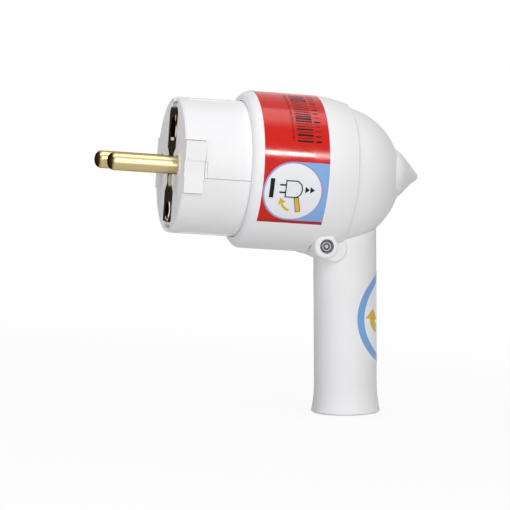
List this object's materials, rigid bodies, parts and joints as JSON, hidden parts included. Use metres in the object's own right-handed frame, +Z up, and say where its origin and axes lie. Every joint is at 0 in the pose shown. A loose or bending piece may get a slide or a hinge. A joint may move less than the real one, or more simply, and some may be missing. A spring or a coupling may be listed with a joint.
{
  "type": "schuko plug",
  "caption": "Round earthed mains plug with two live pins, a domed rear, and a lever handle below that pushes a rod out of the front face to ease the plug from its socket.",
  "frame": {"origin": "centre of the plug's front face, on the plug's axis between the two live pins", "axes": "-X along the pins towards the wall socket, +X back along the plug's axis, +Z up through the earth pin hole, handle hanging towards -Z"},
  "size_m": [0.0887, 0.0427, 0.087],
  "materials": {
    "white_plastic": "smooth moulded",
    "brass_pin": "polished",
    "brass_terminal": "machined",
    "nickel_strap": "nickel plated",
    "steel_screw": "zinc plated",
    "spring_steel": "drawn wire",
    "red_print": "printed film",
    "blue_print": "printed film",
    "black_rubber": "moulded rubber"
  },
  "bodies": {
    "plug": {"head_shell": "white_plastic", "insert_upper": "white_plastic", "insert_lower": "white_plastic", "retaining_ring": "white_plastic", "pin_line": "brass_pin", "pin_neutral": "brass_pin", "earth_strap": "nickel_strap", "earth_socket": "nickel_strap", "earth_terminal": "brass_terminal", "terminal_screw_line": "steel_screw", "terminal_screw_neutral": "steel_screw", "terminal_screw_earth": "steel_screw", "pivot_sleeve": "steel_screw", "pivot_screw": "steel_screw", "pivot_nut": "steel_screw", "head_label": "red_print", "ejector_spring": "spring_steel"},
    "lever": {"handle": "white_plastic", "rear_dome": "white_plastic", "spigot_nut": "white_plastic", "cable_clamp": "white_plastic", "cable_clamp_screws": "steel_screw", "cable_bush": "black_rubber", "handle_label": "blue_print"},
    "ejector": {"ejector_rod": "white_plastic", "ejector_plate": "white_plastic", "plate_clip": "steel_screw"}
  },
  "joints": [
    {"name": "lever_pivot", "type": "hinge", "parent": "plug", "child": "lever", "pos_m": [0.0415, 0, -0.019], "axis": [0, -1, 0], "range_deg": [0, 18], "stiffness_Nm_per_rad": 0.1, "springref_deg": -12.43},
    {"name": "ejector_slide", "type": "slide", "parent": "plug", "child": "ejector", "axis": [-1, 0, 0], "range_m": [0, 0.0059], "deforming": ["ejector_spring"]}
  ],
  "couplings": [
    {"joint": "ejector_slide", "follows": "lever_pivot", "m_per_rad": 0.0184}
  ]
}
